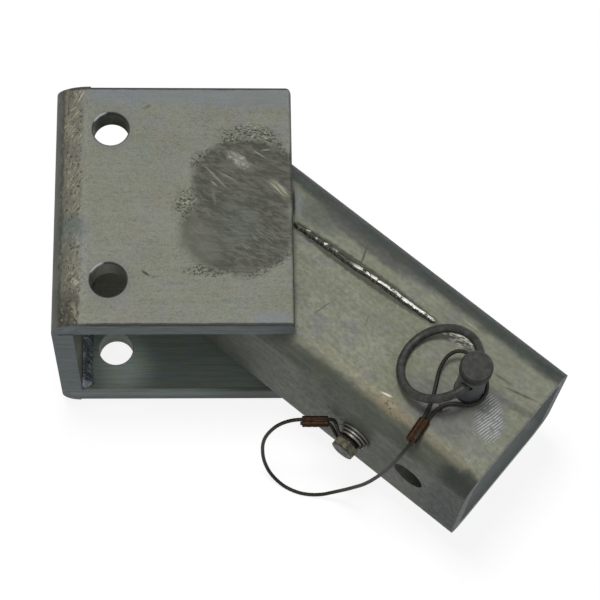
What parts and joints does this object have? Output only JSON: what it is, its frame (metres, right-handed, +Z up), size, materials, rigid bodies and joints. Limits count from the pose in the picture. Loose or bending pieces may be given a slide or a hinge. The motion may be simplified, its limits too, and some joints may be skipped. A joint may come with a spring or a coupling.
{
  "type": "bumper hitch receiver",
  "caption": "Welded plate bracket carrying a square receiver tube at an angle, with a headed drop pin, pull ring and wire lanyard bolted to the tube's side.",
  "frame": {"origin": "on the front bolt hole's axis, at the underside of the bottom plate, on which the bracket stands", "axes": "+Z up along the bolt holes, +X along the receiver tube towards its open end, +Y across the tube towards the bracket's back"},
  "size_m": [0.2631, 0.1588, 0.1197],
  "materials": {
    "plate_steel": "galvanised, dull",
    "tube_steel": "galvanised, scratched",
    "ground_weld": "ground weld metal",
    "weld_bead": "weld bead as laid",
    "zinc_bolt": "zinc plated",
    "zinc_washer": "zinc plated",
    "spring_steel": "plated spring steel",
    "wire_rope": "tarnished wire",
    "copper_ferrule": "tarnished copper",
    "pin_steel": "dark worn steel",
    "ring_steel": "dark drawn wire"
  },
  "bodies": {
    "bracket": {"top_plate": "plate_steel", "bottom_plate": "plate_steel", "end_plate": "plate_steel", "corner_weld_top": "ground_weld", "corner_weld_bottom": "ground_weld", "inner_weld": "weld_bead", "receiver_tube": "tube_steel", "seam_weld": "weld_bead", "tube_weld_top": "weld_bead", "tube_weld_bottom": "weld_bead", "anchor_bolt": "zinc_bolt", "large_washer": "zinc_washer", "small_washer": "zinc_washer", "lock_washer": "spring_steel", "lanyard_rope": "wire_rope", "bolt_ferrule": "copper_ferrule", "pin_ferrule": "copper_ferrule"},
    "pin": {"hitch_pin": "pin_steel"},
    "ring": {"pull_ring": "ring_steel"}
  },
  "joints": [
    {"name": "pin_lift", "type": "slide", "parent": "bracket", "child": "pin", "axis": [0, 0, 1], "range_m": [0, 0.12]},
    {"name": "ring_swing", "type": "hinge", "parent": "pin", "child": "ring", "pos_m": [0.15232, 0.0676, 0.1075], "axis": [-0.1305, 0.9914, 0], "range_deg": [0, 234]}
  ]
}
